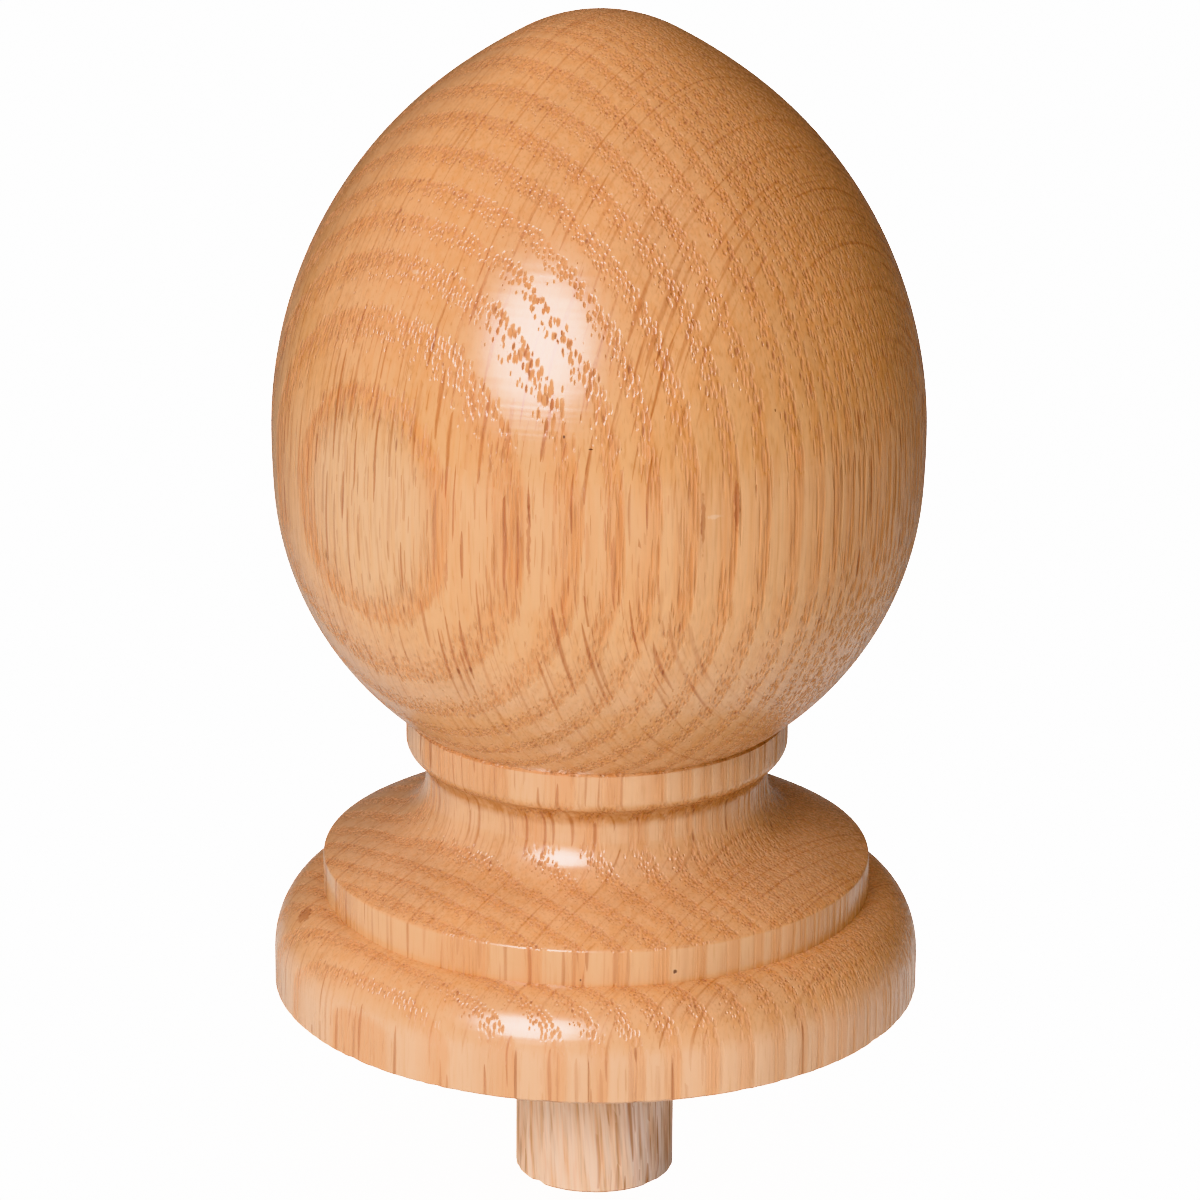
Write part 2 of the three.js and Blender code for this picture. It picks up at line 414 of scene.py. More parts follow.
class Recipe:
    """The nodes of one tree, joined to their inputs as they are made."""

    def __init__(self, tree):
        self.tree = tree

    def feed(self, socket, value):
        if isinstance(value, bpy.types.NodeSocket):
            self.tree.links.new(value, socket)
        else:
            socket.default_value = value

    def add(self, kind, inputs, **settings):
        node = self.tree.nodes.new("ShaderNode" + kind)
        for name, value in settings.items():
            setattr(node, name, value)
        for name, value in inputs.items():
            self.feed(node.inputs[name], value)
        return node

    def math(self, operation, *values):
        return self.add("Math", dict(enumerate(values)), operation=operation).outputs[0]

    def plus(self, *values):
        total = values[0]
        for value in values[1:]:
            total = self.math("ADD", total, value)
        return total

    def times(self, *values):
        total = values[0]
        for value in values[1:]:
            total = self.math("MULTIPLY", total, value)
        return total

    def minus(self, a, b):
        return self.math("SUBTRACT", a, b)

    def over(self, a, b):
        return self.math("DIVIDE", a, b)

    def size(self, value):
        return self.math("ABSOLUTE", value)

    def vector_math(self, operation, *values):
        return self.add("VectorMath", dict(enumerate(values)), operation=operation).outputs["Vector"]

    def length(self, vector):
        return self.add("VectorMath", {0: vector}, operation="LENGTH").outputs["Value"]

    def dot(self, a, b):
        return self.add("VectorMath", {0: a, 1: b}, operation="DOT_PRODUCT").outputs["Value"]

    def split(self, vector):
        node = self.add("SeparateXYZ", {0: vector})
        return node.outputs[0], node.outputs[1], node.outputs[2]

    def join(self, x, y, z):
        return self.add("CombineXYZ", {0: x, 1: y, 2: z}).outputs[0]

    def scaled(self, vector, scale):
        return self.vector_math("MULTIPLY", vector, scale)

    def fade(self, value, start, end, low=0.0, high=1.0):
        """low before start, high after end, and smooth between them. start may be above end."""
        inputs = {"Value": value, "From Min": start, "From Max": end, "To Min": low, "To Max": high}
        return self.add("MapRange", inputs, interpolation_type="SMOOTHSTEP").outputs["Result"]

    def noise(self, vector, fineness, detail=1.0):
        """Noise from 0 to 1, with its fineness in waves a unit along each axis."""
        inputs = {"Vector": self.scaled(vector, fineness), "Scale": 1.0, "Detail": detail}
        return self.add("TexNoise", inputs).outputs["Fac"]

    def swing(self, vector, fineness, reach, detail=1.0):
        """Noise from about -reach to reach."""
        fac = self.noise(vector, fineness, detail)
        return self.times(self.minus(fac, NOISE_MIDDLE), 2 * reach)

    def cells(self, vector, sizes):
        """The middle of the nearest cell, and three random numbers of that cell."""
        place = self.scaled(vector, [1 / size for size in sizes])
        node = self.add("TexVoronoi", {"Vector": place, "Scale": 1.0})
        middle = self.scaled(node.outputs["Position"], sizes)
        return middle, self.split(node.outputs["Color"])

    def mix(self, share, a, b, blend_type="MIX"):
        settings = {"data_type": "RGBA", "blend_type": blend_type, "clamp_factor": True}
        return self.add("Mix", {0: share, 6: a, 7: b}, **settings).outputs[2]

    def tint(self, share, shade, by):
        return self.mix(share, shade, by, "MULTIPLY")


def new_material(name):
    """A material without nodes, and the recipe that fills it."""
    material = bpy.data.materials.new(name)
    material.use_nodes = True
    material.node_tree.nodes.clear()
    return material, Recipe(material.node_tree)


# How each piece lies in its tree

@dataclass
class Timber:
    """Lengths in millimetres, turns in radians. Widths of the rings run from the bark inwards."""
    turn: float
    lean: float
    start: tuple
    pith_depth: float
    ring_lean: float
    ring_twist: float
    ring_widths: tuple
    narrow_width: float
    early_where_wide: float
    early_where_narrow: float
    latewood: tuple
    earlywood: tuple


# The block that the finial was turned from. Its bark side faced to the viewer's front left, so
# the rings show there as ovals about one point, and they close up towards the pith behind it.
WIDEST_ABOVE_FLOOR = SEAT_ABOVE_FLOOR + 69.42
FIRST_RING = 1.75
SHOWN_RING_WIDTHS = (3.08, 3.12, 2.7, 2.82, 3.19, 3.63, 3.58, 3.9, 3.04)
CLOSING_RING_WIDTHS = (2.6, 2.2, 1.9, 1.7, 1.5)
CLOSING_RINGS_START = FIRST_RING + sum(SHOWN_RING_WIDTHS[:-1])
CLOSING_RINGS_REACH = 9.0

finial_timber = Timber(
    turn=math.radians(44.5),
    lean=0.0,
    start=(0, EGG_RADIUS, -WIDEST_ABOVE_FLOOR),
    pith_depth=170,
    ring_lean=0.0039,
    ring_twist=-0.00065,
    ring_widths=(FIRST_RING, *SHOWN_RING_WIDTHS, *CLOSING_RING_WIDTHS),
    narrow_width=1.35,
    early_where_wide=0.44,
    early_where_narrow=0.85,
    latewood=colour(0.65, 0.34, 0.15),
    earlywood=colour(0.61, 0.275, 0.102),
)
dowel_timber = Timber(
    turn=math.radians(-62),
    lean=math.radians(4),
    start=(0, DOWEL_RADIUS, 0),
    pith_depth=60,
    ring_lean=0.0,
    ring_twist=0.0,
    ring_widths=(0.9, 1.7, 1.5, 2.0),
    narrow_width=1.6,
    early_where_wide=0.5,
    early_where_narrow=0.5,
    latewood=colour(0.92, 0.67, 0.50),
    earlywood=colour(0.90, 0.64, 0.46),
)

# Sizes in the grain, in millimetres
GRAIN_REACH = 84.0
RING_WAVES = 0.45
RAY_WANDER = 0.8
PORE_SPACING = 0.44
PORE_HEIGHT = 25 * PORE_SPACING
PORE_RADIUS = 0.26
PORE_DEPTH = 0.065
SANDING_DEPTH = 0.006

# How fine each noise in the wood is, in waves a millimetre along, into and up the timber
RING_FINENESS = (0.11, 0.11, 0.025)
RAY_FINENESS = (0.05, 0.02, 0.06)
FIBRE_FINENESS = (3.6, 3.6, 0.17)
STREAK_FINENESS = (1.1, 1.1, 0.045)
CLOUD_FINENESS = (0.12, 0.12, 0.03)
SANDING_FINENESS = (0.04, 0.04, 2.0)
DOWEL_STREAK_FINENESS = (1.5, 1.5, 0.08)

# Every fade below says where it starts and ends, and what it gives there if that isn't 0 and 1.

# Fades by the place in a ring, which is 0 at its first pores and 1 where the close ones end
EARLYWOOD_BEGINS = (0.0, 0.3)
EARLYWOOD_ENDS = (1.8, 0.5)
PORES_THIN_OUT = (0.9, 1.55, 1.0, 0.03)
PORES_SHRINK = (0.4, 1.6, PORE_RADIUS, 0.5 * PORE_RADIUS)

# Fades by a random number or by noise
PORES_DIFFER = (0.0, 1.0, 0.75, 1.15)
DIRTY_PORES = (0.965, 0.985)
SMALL_PORES = (0.60, 0.70)
STREAKS = (0.42, 0.68)
RAYS_DIFFER_IN_HEIGHT = (0, 1, 0.22, 0.5)
RAYS_DIFFER_IN_DARKNESS = (0, 1, 0.35, 1.0)

# Fades across the edges of pores and rays, up a pore, and out of the middle of the ovals
PORE_EDGE = (1.1, 0.25)
RAY_EDGE = (1.3, 0.3)
PORE_TAPER = (0.62 * PORE_HEIGHT, 0.34 * PORE_HEIGHT, 0.05, 1.0)
HEART = (1.6, 0.8)

# Fades by how level a face is, from 0 where it is upright to 1 where it is level
UPRIGHT_FACES = (0.6, 0.2)
PORES_CUT_LENGTHWISE = (0.0, 0.25, 0.85, 1.0)
PORES_CUT_ACROSS = (0.65, 0.9, 1.0, 0.8)
END_GRAIN = (0.12, 0.75)
RAYS_ON_END_GRAIN = (0.2, 0.7, 1.0, 0.5)
EARLYWOOD_ON_END_GRAIN = (0.05, 0.35, 1.0, 0.6)

# Fades by how far a face looks up, and by how far it looks along the rings, where rays lie flat
# Painted shade: faces that look up are tinted a little darker and more orange, for how the light
# falls on them
LOOKS_UP_SHADE = (-0.05, 0.4)
FLAT_RAYS = (0.96, 0.76, 0.1, 1.0)

# How strongly things show in the grain, and by how much calm wood weakens them
FIBRE_STRENGTH = 0.13
MORE_IN_EARLYWOOD = 0.14
CLOUD_STRENGTH = 0.10
RAYS_CALMED = 0.25
HEART_CALMED = 1.6

# Colours that what shows in the grain multiplies the wood's own colour by
PORE_TINT = colour(0.90, 0.80, 0.69)
DIRT_TINT = colour(0.66, 0.54, 0.45)
SMALL_PORE_TINT = colour(0.95, 0.90, 0.84)
RAY_TINT = colour(0.68, 0.49, 0.36)
STREAK_TINT = colour(0.97, 0.91, 0.83)
HEART_TINT = colour(0.96, 1.05, 1.2)
END_GRAIN_TINT = colour(0.98, 0.94, 0.92)
# Painted shade on faces that look up
LOOKS_UP_SHADE_TINT = colour(0.99, 0.945, 0.925)


def placed_in_timber(recipe, timber):
    """Object coordinates turned into millimetres along, into and up the timber."""
    inputs = {
        "Vector": recipe.add("TexCoord", {}).outputs["Object"],
        "Location": timber.start,
        "Rotation": (0, timber.lean, timber.turn),
        "Scale": INTO_MILLIMETRES,
    }
    return recipe.add("Mapping", inputs, vector_type="POINT").outputs[0]


def facing_in_timber(recipe, timber):
    """Which way the surface faces: how far along, into and up the timber."""
    inputs = {
        "Vector": recipe.add("TexCoord", {}).outputs["Normal"],
        "Rotation": (0, timber.lean, timber.turn),
    }
    return recipe.split(recipe.add("Mapping", inputs, vector_type="VECTOR").outputs[0])


def depth_below_bark(recipe, timber, place):
    """How deep a place lies in the tree, measured towards the pith, with the rings' unevenness."""
    along, inward, up = recipe.split(place)
    back = recipe.minus(timber.pith_depth, inward)
    to_pith = recipe.length(recipe.join(along, back, 0))
    lean = recipe.times(up, timber.ring_lean)
    twist = recipe.times(along, up, timber.ring_twist)
    waves = recipe.swing(place, RING_FINENESS, RING_WAVES)
    return recipe.plus(recipe.minus(timber.pith_depth, to_pith), lean, twist, waves)


def place_in_ring(recipe, timber, depth):
    """How far a depth lies from its ring's first pores, as a share of the ring: 0 at the pores."""
    widths = list(timber.ring_widths)
    while sum(widths) < GRAIN_REACH:
        widths.append(timber.narrow_width)
    curve = recipe.add("FloatCurve", {"Value": recipe.times(depth, 1 / GRAIN_REACH)})
    points = curve.mapping.curves[0].points
    points[0].location = (0, 0)
    points[-1].location = (1, 1)
    edge = 0.0
    for count, width in enumerate(widths[:-1], 1):
        edge += width
        points.new(edge / GRAIN_REACH, count / len(widths))
    for point in points:
        point.handle_type = "VECTOR"
    curve.mapping.update()
    rings = recipe.times(curve.outputs[0], len(widths))
    return recipe.minus(1.0, recipe.math("FRACT", rings))


def place_in_earlywood(recipe, timber, place):
    """0 at a ring's first pores, 1 where the close pores end, and more in the latewood. Also
    gives the depth below the bark."""
    depth = depth_below_bark(recipe, timber, place)
    wide, narrow = timber.early_where_wide, timber.early_where_narrow
    end = CLOSING_RINGS_START + CLOSING_RINGS_REACH
    early = recipe.fade(depth, CLOSING_RINGS_START, end, wide, narrow)
    return recipe.over(place_in_ring(recipe, timber, depth), early), depth


def pore_masks(recipe, timber, place):
    """Large pores: upright tubes, close together at a ring's start and few after it. A few of
    them hold dirt, which the second mask shows."""
    sizes = (PORE_SPACING, PORE_SPACING, PORE_HEIGHT)
    middle, (first, second, third) = recipe.cells(place, sizes)
    position = place_in_earlywood(recipe, timber, middle)[0]
    likely = recipe.fade(position, *PORES_THIN_OUT)
    there = recipe.math("LESS_THAN", first, likely)
    radius = recipe.fade(position, *PORES_SHRINK)
    radius = recipe.times(radius, recipe.fade(second, *PORES_DIFFER))
    along, inward, up = recipe.split(recipe.vector_math("SUBTRACT", place, middle))
    taper = recipe.fade(recipe.size(up), *PORE_TAPER)
    reach = recipe.length(recipe.join(along, inward, 0))
    across = recipe.over(reach, recipe.times(radius, taper))
    pores = recipe.times(recipe.fade(across, *PORE_EDGE), there)
    dirty = recipe.fade(third, *DIRTY_PORES)
    return pores, recipe.times(pores, dirty)


# Rays

@dataclass
class Rays:
    """Thin upright sheets that run towards the pith. Lengths in millimetres."""
    spacing: float
    run: float
    height: float
    thickness: float
    likely: float
    darkness: float


BROAD_RAYS = Rays(spacing=1.8, run=19, height=13, thickness=0.30, likely=0.95, darkness=1.0)
FINE_RAYS = Rays(spacing=0.9, run=12, height=5.0, thickness=0.13, likely=0.75, darkness=0.7)

# A ray is at least this thick, and this factor makes another random number out of one
THINNEST_RAY = 0.001
SHUFFLE = 17


def fanned_out(recipe, timber, place):
    """The place with the rays made parallel, though they run towards the pith and wander."""
    along, inward, up = recipe.split(place)
    back = recipe.minus(timber.pith_depth, inward)
    fan = recipe.times(recipe.over(along, back), timber.pith_depth)
    wander = recipe.swing(place, RAY_FINENESS, RAY_WANDER)
    return recipe.join(recipe.plus(fan, wander), inward, up)


def ray_mask(recipe, spread, rays):
    """Rays end on the surface as slender lines, each with its own height and darkness."""
    sizes = (rays.spacing, rays.run, rays.height)
    middle, (first, second, third) = recipe.cells(spread, sizes)
    along, _, up = recipe.split(recipe.vector_math("SUBTRACT", spread, middle))
    reach = recipe.times(recipe.fade(second, *RAYS_DIFFER_IN_HEIGHT), rays.height)
    rise = recipe.over(up, reach)
    left_over = recipe.minus(1.0, recipe.times(rise, rise))
    lens = recipe.math("SQRT", recipe.math("MAXIMUM", left_over, 0.0))
    half = recipe.times(lens, recipe.fade(third, 0, 1, 0.5 * rays.thickness, rays.thickness))
    edge = recipe.over(recipe.size(along), recipe.plus(half, THINNEST_RAY))
    there = recipe.math("LESS_THAN", first, rays.likely)
    another = recipe.math("FRACT", recipe.times(first, SHUFFLE))
    darkness = recipe.fade(another, *RAYS_DIFFER_IN_DARKNESS)
    return recipe.times(recipe.fade(edge, *RAY_EDGE), there, darkness, rays.darkness)


# Oak

def oak_grain(recipe, timber, calm=0.0):
    """The colour of oak at every place, its relief in millimetres, its pores and the place.
    calm says how much fainter the grain is on upright faces, from 0 to 1."""
    place = placed_in_timber(recipe, timber)
    facing_along, _, facing_up = facing_in_timber(recipe, timber)
    position, depth = place_in_earlywood(recipe, timber, place)
    early = recipe.times(
        recipe.fade(position, *EARLYWOOD_ENDS),
        recipe.fade(position, *EARLYWOOD_BEGINS),
    )
    pores, dirt = pore_masks(recipe, timber, place)
    levelness = recipe.size(facing_up)
    boldness = recipe.minus(1.0, recipe.times(recipe.fade(levelness, *UPRIGHT_FACES), calm))
    open_pores = recipe.times(
        recipe.fade(levelness, *PORES_CUT_LENGTHWISE),
        recipe.fade(levelness, *PORES_CUT_ACROSS),
        pores,
        boldness,
    )

    fine = recipe.noise(place, FIBRE_FINENESS)
    small_pores = recipe.fade(fine, *SMALL_PORES)
    fibres = recipe.times(recipe.minus(NOISE_MIDDLE, fine), 2.0)
    streaks = recipe.noise(place, STREAK_FINENESS)
    clouds = recipe.swing(place, CLOUD_FINENESS, 1.0)
    fibre_strength = recipe.plus(FIBRE_STRENGTH, recipe.times(early, MORE_IN_EARLYWOOD))
    fibrous = recipe.times(fibres, boldness, fibre_strength)
    brightness = recipe.plus(1.0, fibrous, recipe.times(clouds, CLOUD_STRENGTH))

    end_grain = recipe.fade(levelness, *END_GRAIN)
    # Painted shade on faces that look up
    looks_up_shade = recipe.fade(facing_up, *LOOKS_UP_SHADE)
    ray_strength = recipe.fade(recipe.size(facing_along), *FLAT_RAYS)
    ray_strength = recipe.times(ray_strength, recipe.fade(levelness, *RAYS_ON_END_GRAIN))
    rays_calmed = recipe.minus(1.0, recipe.times(calm, RAYS_CALMED))
    ray_strength = recipe.times(ray_strength, rays_calmed)
    spread = fanned_out(recipe, timber, place)
    broad_rays = recipe.times(ray_mask(recipe, spread, BROAD_RAYS), ray_strength)
    fine_rays = recipe.times(ray_mask(recipe, spread, FINE_RAYS), ray_strength, boldness)

    early = recipe.times(early, recipe.fade(levelness, *EARLYWOOD_ON_END_GRAIN))
    shade = recipe.mix(early, timber.latewood, timber.earlywood)
    shade = recipe.vector_math("MULTIPLY", shade, recipe.join(brightness, brightness, brightness))
    heart = recipe.fade(depth, *HEART)
    heart = recipe.times(heart, recipe.minus(1.0, recipe.times(calm, HEART_CALMED)))
    shade = recipe.tint(heart, shade, HEART_TINT)
    streaky = recipe.times(recipe.fade(streaks, *STREAKS), boldness)
    shade = recipe.tint(streaky, shade, STREAK_TINT)
    layers = (
        (small_pores, SMALL_PORE_TINT),
        (end_grain, END_GRAIN_TINT),
        (looks_up_shade, LOOKS_UP_SHADE_TINT),
        (fine_rays, RAY_TINT),
        (broad_rays, RAY_TINT),
        (open_pores, PORE_TINT),
        (dirt, DIRT_TINT),
    )
    for share, tint in layers:
        shade = recipe.tint(share, shade, tint)
    relief = recipe.times(open_pores, -PORE_DEPTH)
    return shade, relief, pores, place


# Marks that the photograph shows

@dataclass
class Mark:
    """Its place from the middle of the dowel's foot, and how far it reaches sideways and upwards.
    Lengths in millimetres."""
    place: tuple
    reach: float
    rise: float


DARK_FLECKS = (
    Mark((9.2, -31.2, 38.0), 0.24, 0.24),
    Mark((-1.7, -32.4, 37.4), 0.12, 0.12),
    Mark((-3.9, -36.9, 104.6), 0.12, 0.16),
    Mark((-0.9, -37.4, 103.3), 0.2, 0.06),
    Mark((19.7, -31.1, 106.0), 0.08, 0.22),
    Mark((14.3, -33.7, 106.6), 0.1, 0.12),
)
BROWN_STAINS = (
    Mark((-34.5, -8.5, 35.5), 1.3, 0.8),
    Mark((-7.8, -37.4, 91.5), 0.25, 4.5),
    Mark((11.7, -36.4, 94.6), 0.25, 3.0),
    Mark((15.5, -34.9, 96.1), 0.35, 3.0),
    Mark((12.2, -34.0, 108.6), 0.14, 0.3),
)
PALE_SCUFFS = (
    Mark((13.0, -35.9, 95.0), 0.8, 0.25),
    Mark((-20.7, -23.6, 119.6), 0.5, 0.2),
)
DARK_FLECK_TINT = colour(0.22, 0.17, 0.14)
BROWN_STAIN_TINT = colour(0.72, 0.57, 0.46)
SCUFF_COLOUR = colour(0.74, 0.50, 0.33)
SCUFF_STRENGTH = 0.4

# The edge of a mark, by how far out it lies as a share of the mark's own reach
MARK_EDGE = (1.3, 0.7)
MARK_RAGGEDNESS = 0.8
MARK_FINENESS = (2.5, 2.5, 1.2)
FAR_FROM_MARKS = 9.0

# Painted shade in the undercut, by the distance from its middle in millimetres and by noise
GROOVE_ABOVE_NECK = 1.3
GROOVE_REACH = (1.6, 0.2)
GROOVE_PATCHES = (0.25, 0.6, 0.3, 1.0)
GROOVE_FINENESS = (0.9, 0.9, 0.9)
UNDERCUT_SHADE_TINT = colour(0.76, 0.63, 0.50)


def mark_mask(recipe, place, marks):
    """Where any of the marks is, with broken edges."""
    ragged = recipe.swing(place, MARK_FINENESS, MARK_RAGGEDNESS)
    nearest = FAR_FROM_MARKS
    for mark in marks:
        offset = recipe.vector_math("SUBTRACT", place, mark.place)
        stretched = recipe.scaled(offset, (1 / mark.reach, 1 / mark.reach, 1 / mark.rise))
        nearest = recipe.math("MINIMUM", nearest, recipe.length(stretched))
    return recipe.fade(recipe.plus(nearest, ragged), *MARK_EDGE)


def undercut_shade_mask(recipe, place):
    """Painted shade in the undercut below the collar, in patches from noise."""
    neck_top = slope_outline(base_outline()[-1].y)[-1].y + NECK_STRAIGHT
    height = recipe.split(place)[2]
    groove_height = SEAT_ABOVE_FLOOR + neck_top + GROOVE_ABOVE_NECK
    distance = recipe.size(recipe.minus(height, groove_height))
    patches = recipe.noise(place, GROOVE_FINENESS, detail=2.0)
    return recipe.times(
        recipe.fade(distance, *GROOVE_REACH),
        recipe.fade(patches, *GROOVE_PATCHES),
    )


# The body's tints, which fade in downwards, by the height above the floor in millimetres. The pale
# foot is painted reflection of the pale floor, with some of the wood's own paler tone; the warm base
# takes back part of that tint on the disc and below; the pale wall is painted reflection of the pale
# floor on the base's wall.
PALE_FOOT = (84, 62)
PALE_FOOT_REFLECTION_TINT = colour(1.02, 1.12, 1.33)
PALE_FOOT_CALM = 0.6
WARM_BASE = (43, 41)
WARM_BASE_TINT = colour(1.01, 0.975, 0.915)
PALE_WALL = (34, 29)
PALE_WALL_REFLECTION_TINT = colour(1.06, 1.13, 1.31)

# The lacquer, which is rough where it sinks into a pore
ROUGH_IN_PORES = (0.3, 0.75, 0.23, 0.9)
LACQUER_IOR = 1.6


def lacquered_oak():
    material, recipe = new_material("lacquered_oak_grain")
    position = recipe.scaled(recipe.add("TexCoord", {}).outputs["Object"], INTO_MILLIMETRES)
    height = recipe.split(position)[2]
    calm = recipe.fade(height, *PALE_FOOT, 0.0, PALE_FOOT_CALM)
    shade, relief, pores, place = oak_grain(recipe, finial_timber, calm)
    # Painted reflection of the pale floor, with some of the wood's own paler tone: paler towards the
    # foot
    shade = recipe.tint(recipe.fade(height, *PALE_FOOT), shade, PALE_FOOT_REFLECTION_TINT)
    shade = recipe.tint(recipe.fade(height, *WARM_BASE), shade, WARM_BASE_TINT)
    # Painted reflection of the pale floor on the base's wall
    shade = recipe.tint(recipe.fade(height, *PALE_WALL), shade, PALE_WALL_REFLECTION_TINT)
    # Painted shade: the undercut below the collar is darkened
    shade = recipe.tint(undercut_shade_mask(recipe, position), shade, UNDERCUT_SHADE_TINT)
    shade = recipe.tint(mark_mask(recipe, position, BROWN_STAINS), shade, BROWN_STAIN_TINT)
    shade = recipe.tint(mark_mask(recipe, position, DARK_FLECKS), shade, DARK_FLECK_TINT)
    scuffs = recipe.times(mark_mask(recipe, position, PALE_SCUFFS), SCUFF_STRENGTH)
    shade = recipe.mix(scuffs, shade, SCUFF_COLOUR)
    sanding = recipe.swing(place, SANDING_FINENESS, SANDING_DEPTH, detail=0.0)
    bump = recipe.add("Bump", {"Height": recipe.plus(relief, sanding), "Distance": METRES})
    inputs = {
        "Base Color": shade,
        "Normal": bump.outputs[0],
        "Roughness": recipe.fade(pores, *ROUGH_IN_PORES),
        "IOR": LACQUER_IOR,
    }
    shader = recipe.add("BsdfPrincipled", inputs)
    recipe.add("OutputMaterial", {"Surface": shader.outputs[0]})
    return material


# The bare dowel
BROWN_STREAKS = (0.52, 0.64)
DOWEL_BROWN_TINT = colour(0.93, 0.85, 0.78)
GREY_STREAKS = (0.45, 0.36, 0.0, 0.22)
DOWEL_GREY = colour(0.80, 0.65, 0.54)
BARE_RELIEF = 0.35
BARE_ROUGHNESS = 0.8
BARE_IOR = 1.4


def bare_oak():
    material, recipe = new_material("bare_oak_grain")
    shade, relief, _, place = oak_grain(recipe, dowel_timber)
    streaks = recipe.noise(place, DOWEL_STREAK_FINENESS)
    shade = recipe.tint(recipe.fade(streaks, *BROWN_STREAKS), shade, DOWEL_BROWN_TINT)
    shade = recipe.mix(recipe.fade(streaks, *GREY_STREAKS), shade, DOWEL_GREY)
    bump = recipe.add("Bump", {"Height": recipe.times(relief, BARE_RELIEF), "Distance": METRES})
    inputs = {
        "Base Color": shade,
        "Normal": bump.outputs[0],
        "Roughness": BARE_ROUGHNESS,
        "IOR": BARE_IOR,
    }
    shader = recipe.add("BsdfPrincipled", inputs)
    recipe.add("OutputMaterial", {"Surface": shader.outputs[0]})
    return material


# The pieces

finial_body = turned_mesh("egg_finial", body_outline(), BODY_SIDES, worn_body)
finial_body.data.materials.append(lacquered_oak())
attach(finial_body, "root")
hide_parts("finial_body")

dowel = turned_mesh("oak_dowel", dowel_outline(), DOWEL_SIDES, worn_dowel)
dowel.data.materials.append(bare_oak())
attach(dowel, "root")
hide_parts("dowel")


# The floor, in metres. Forward is away from the viewer.
FLOOR_HALF_WIDTH = 6.0
# Painted pool of light: the floor's colour is pale within the first distance from the finial and
# dark from the second
FLOOR_PALE_WITHIN = 0.62
FLOOR_DARK_FROM = 1.1
FLOOR_DARK = colour(0.12, 0.12, 0.12)
FLOOR_PALE = colour(0.7, 0.7, 0.7)
FLOOR_ROUGHNESS = 0.9
FLOOR_SHEEN = 0.2
SEEN_WHITENESS = 6.0

# Where the floor is pale or glows. Its pale colour is a painted pool of light, which darkens behind
# the finial.
PALE_FORWARD = (0.05, 0.3, 1.0, 0.2)
GLOWS_IN_FRONT = (0.1, -0.3, 0.05, 1.0)
GLOWS_TO_LEFT = (0.05, -0.3, 0.0, 1.0)
GLOWS_TO_RIGHT = (-0.02, 0.1)
GLOWS_BY_THE_BASE = (0.18, 0.06)
FRONT_GLOW = 0.34
MIRRORED_GLOW = 0.35
BASE_GLOW = 0.35


def pale_floor():
    """A floor that looks white to the camera and lights the finial softly from below."""
    corners = [(-1, -1), (1, -1), (1, 1), (-1, 1)]
    mesh = bpy.data.meshes.new("floor")
    verts = [(x * FLOOR_HALF_WIDTH, y * FLOOR_HALF_WIDTH, 0) for x, y in corners]
    mesh.from_pydata(verts, [], [(0, 1, 2, 3)])
    floor = bpy.data.objects.new("floor", mesh)
    bpy.context.scene.collection.objects.link(floor)
    material, recipe = new_material("pale_floor")
    place = recipe.add("TexCoord", {}).outputs["Object"]
    # Painted pool of light on the floor: pale near the finial and in front of it
    near = recipe.fade(recipe.length(place), FLOOR_DARK_FROM, FLOOR_PALE_WITHIN)
    across, forward, _ = recipe.split(place)
    pale = recipe.times(near, recipe.fade(forward, *PALE_FORWARD))
    inputs = {
        "Base Color": recipe.mix(pale, FLOOR_DARK, FLOOR_PALE),
        "Roughness": FLOOR_ROUGHNESS,
        "Specular IOR Level": FLOOR_SHEEN,
        "Emission Color": colour(1, 1, 1),
    }
    shader = recipe.add("BsdfPrincipled", inputs)
    path = recipe.add("LightPath", {})
    seen = recipe.times(path.outputs["Is Camera Ray"], SEEN_WHITENESS)
    in_front = recipe.fade(forward, *GLOWS_IN_FRONT)
    to_left = recipe.fade(recipe.plus(across, forward), *GLOWS_TO_LEFT)
    mirrored = recipe.times(path.outputs["Is Glossy Ray"], to_left, MIRRORED_GLOW)
    to_right = recipe.fade(across, *GLOWS_TO_RIGHT)
    around_base = recipe.fade(recipe.length(place), *GLOWS_BY_THE_BASE)
    by_the_base = recipe.times(around_base, to_right, BASE_GLOW)
    glow = recipe.plus(recipe.times(in_front, FRONT_GLOW), mirrored, by_the_base)
    recipe.feed(shader.inputs["Emission Strength"], recipe.plus(seen, recipe.times(near, glow)))
    recipe.add("OutputMaterial", {"Surface": shader.outputs[0]})
    material.cycles.emission_sampling = "NONE"
    mesh.materials.append(material)


# The camera, from the photograph's outlines. Its place is in millimetres, its turns in radians.
CAMERA_PLACE = (0.0, -775.7, 348.8)
CAMERA_TILT = 0.3425
CAMERA_PAN = 0.0003
CAMERA_ROLL = 0.0066
CAMERA_LENS = 210
CAMERA_SENSOR = 36
CAMERA_SEES_TO = 30


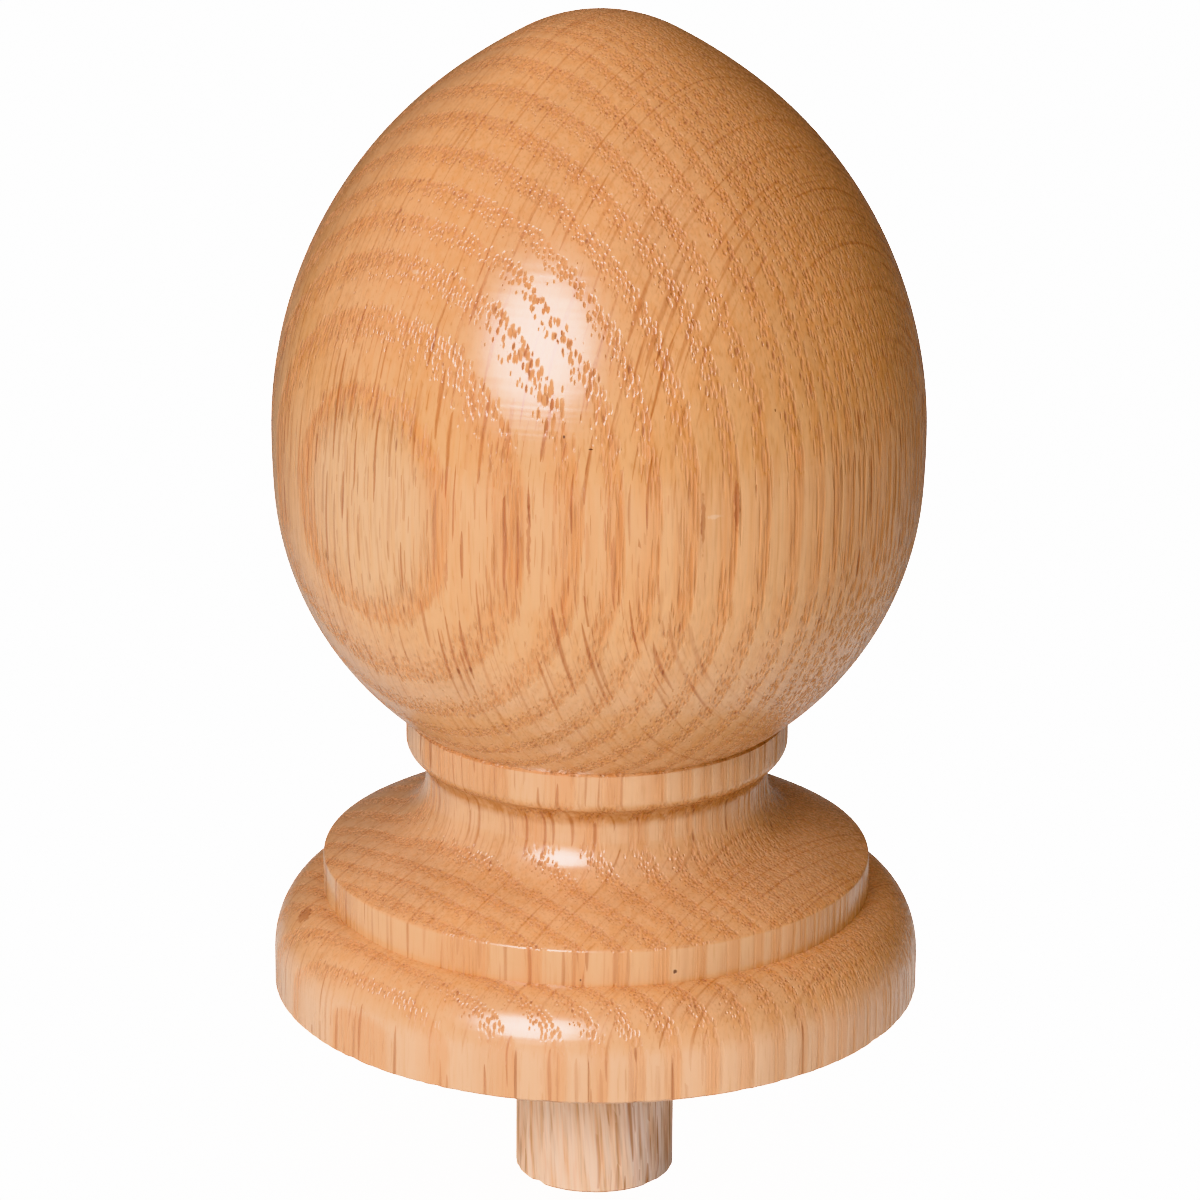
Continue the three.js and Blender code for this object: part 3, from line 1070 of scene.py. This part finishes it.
def add_camera():
    """A long lens that looks down by the tilt and aside by the pan, rolled a little."""
    data = bpy.data.cameras.new("camera")
    data.lens = CAMERA_LENS
    data.sensor_width = CAMERA_SENSOR
    data.sensor_fit = "HORIZONTAL"
    data.clip_end = CAMERA_SEES_TO
    camera = bpy.data.objects.new("camera", data)
    bpy.context.scene.collection.objects.link(camera)
    forward = Vector((0, math.cos(CAMERA_TILT), -math.sin(CAMERA_TILT)))
    right = Vector((1, 0, 0))
    upwards = right.cross(forward)
    forward, right = (
        forward * math.cos(CAMERA_PAN) + right * math.sin(CAMERA_PAN),
        right * math.cos(CAMERA_PAN) - forward * math.sin(CAMERA_PAN),
    )
    right, upwards = (
        right * math.cos(CAMERA_ROLL) + upwards * math.sin(CAMERA_ROLL),
        upwards * math.cos(CAMERA_ROLL) - right * math.sin(CAMERA_ROLL),
    )
    turned = Matrix((right, upwards, -forward)).transposed().to_4x4()
    camera.matrix_world = Matrix.Translation(Vector(CAMERA_PLACE) * METRES) @ turned
    bpy.context.scene.camera = camera


# The lights

@dataclass
class Softbox:
    """A soft light aimed at the finial. Azimuth 0 is the viewer's side, and more goes rightwards.
    Angles in degrees, lengths in metres."""
    name: str
    azimuth: float
    elevation: float
    distance: float
    width: float
    height: float
    watts: float
    shade: tuple = (1, 1, 1)
    lights_matt: bool = True
    is_mirrored: bool = True


SOFTBOXES = (
    Softbox("key_light", -24, 28, 1.1, 0.56, 0.52, 9.6),
    Softbox("key_sheen", -24, 28, 1.1, 0.62, 0.6, 22.0, lights_matt=False),
    Softbox("left_fill", -95, 13, 1.3, 0.9, 1.2, 1.05),
    Softbox("right_fill", 45, 56, 1.2, 0.9, 0.9, 3.1, (0.95, 0.98, 1.04), is_mirrored=False),
    Softbox("top_fill", -70, 62, 1.2, 0.9, 0.9, 1.8, is_mirrored=False),
    Softbox("back_fill", 180, 12, 1.3, 0.9, 0.9, 1.5, is_mirrored=False),
)
AIM_HEIGHT = 0.085

# The world's light, by how far a direction looks to its brighter side
BRIGHTER_SIDE = Vector((-0.62, -0.45, 0.64))
WORLD_LIGHT = (-0.65, 0.7, 0.06, 0.40)

# Light that has bounced more often than this adds too little to see
USEFUL_DIFFUSE_BOUNCES = 3
USEFUL_GLOSSY_BOUNCES = 2


def add_softbox(softbox):
    data = bpy.data.lights.new(softbox.name, "AREA")
    data.shape = "ELLIPSE"
    data.size = softbox.width
    data.size_y = softbox.height
    data.energy = softbox.watts
    data.color = softbox.shade
    light = bpy.data.objects.new(softbox.name, data)
    bpy.context.scene.collection.objects.link(light)
    azimuth, elevation = math.radians(softbox.azimuth), math.radians(softbox.elevation)
    level = math.cos(elevation)
    outward = Vector((math.sin(azimuth) * level, -math.cos(azimuth) * level, math.sin(elevation)))
    light.location = Vector((0, 0, AIM_HEIGHT)) + outward * softbox.distance
    light.rotation_euler = outward.to_track_quat("Z", "Y").to_euler()
    light.visible_diffuse = softbox.lights_matt
    light.visible_glossy = softbox.is_mirrored


def light_studio():
    """A world that looks white to the camera but lights dimly, and the soft lights."""
    world = bpy.data.worlds.new("white_studio")
    world.use_nodes = True
    background = world.node_tree.nodes["Background"]
    background.inputs["Color"].default_value = colour(1, 1, 1)
    recipe = Recipe(world.node_tree)
    facing = recipe.dot(recipe.add("TexCoord", {}).outputs["Generated"], BRIGHTER_SIDE)
    light = recipe.fade(facing, *WORLD_LIGHT)
    seen = recipe.times(recipe.add("LightPath", {}).outputs["Is Camera Ray"], SEEN_WHITENESS)
    recipe.feed(background.inputs["Strength"], recipe.plus(light, seen))
    bpy.context.scene.world = world
    for softbox in SOFTBOXES:
        add_softbox(softbox)
    bpy.context.scene.view_settings.view_transform = "Khronos PBR Neutral"
    bpy.context.scene.cycles.diffuse_bounces = USEFUL_DIFFUSE_BOUNCES
    bpy.context.scene.cycles.glossy_bounces = USEFUL_GLOSSY_BOUNCES


pale_floor()
light_studio()
add_camera()
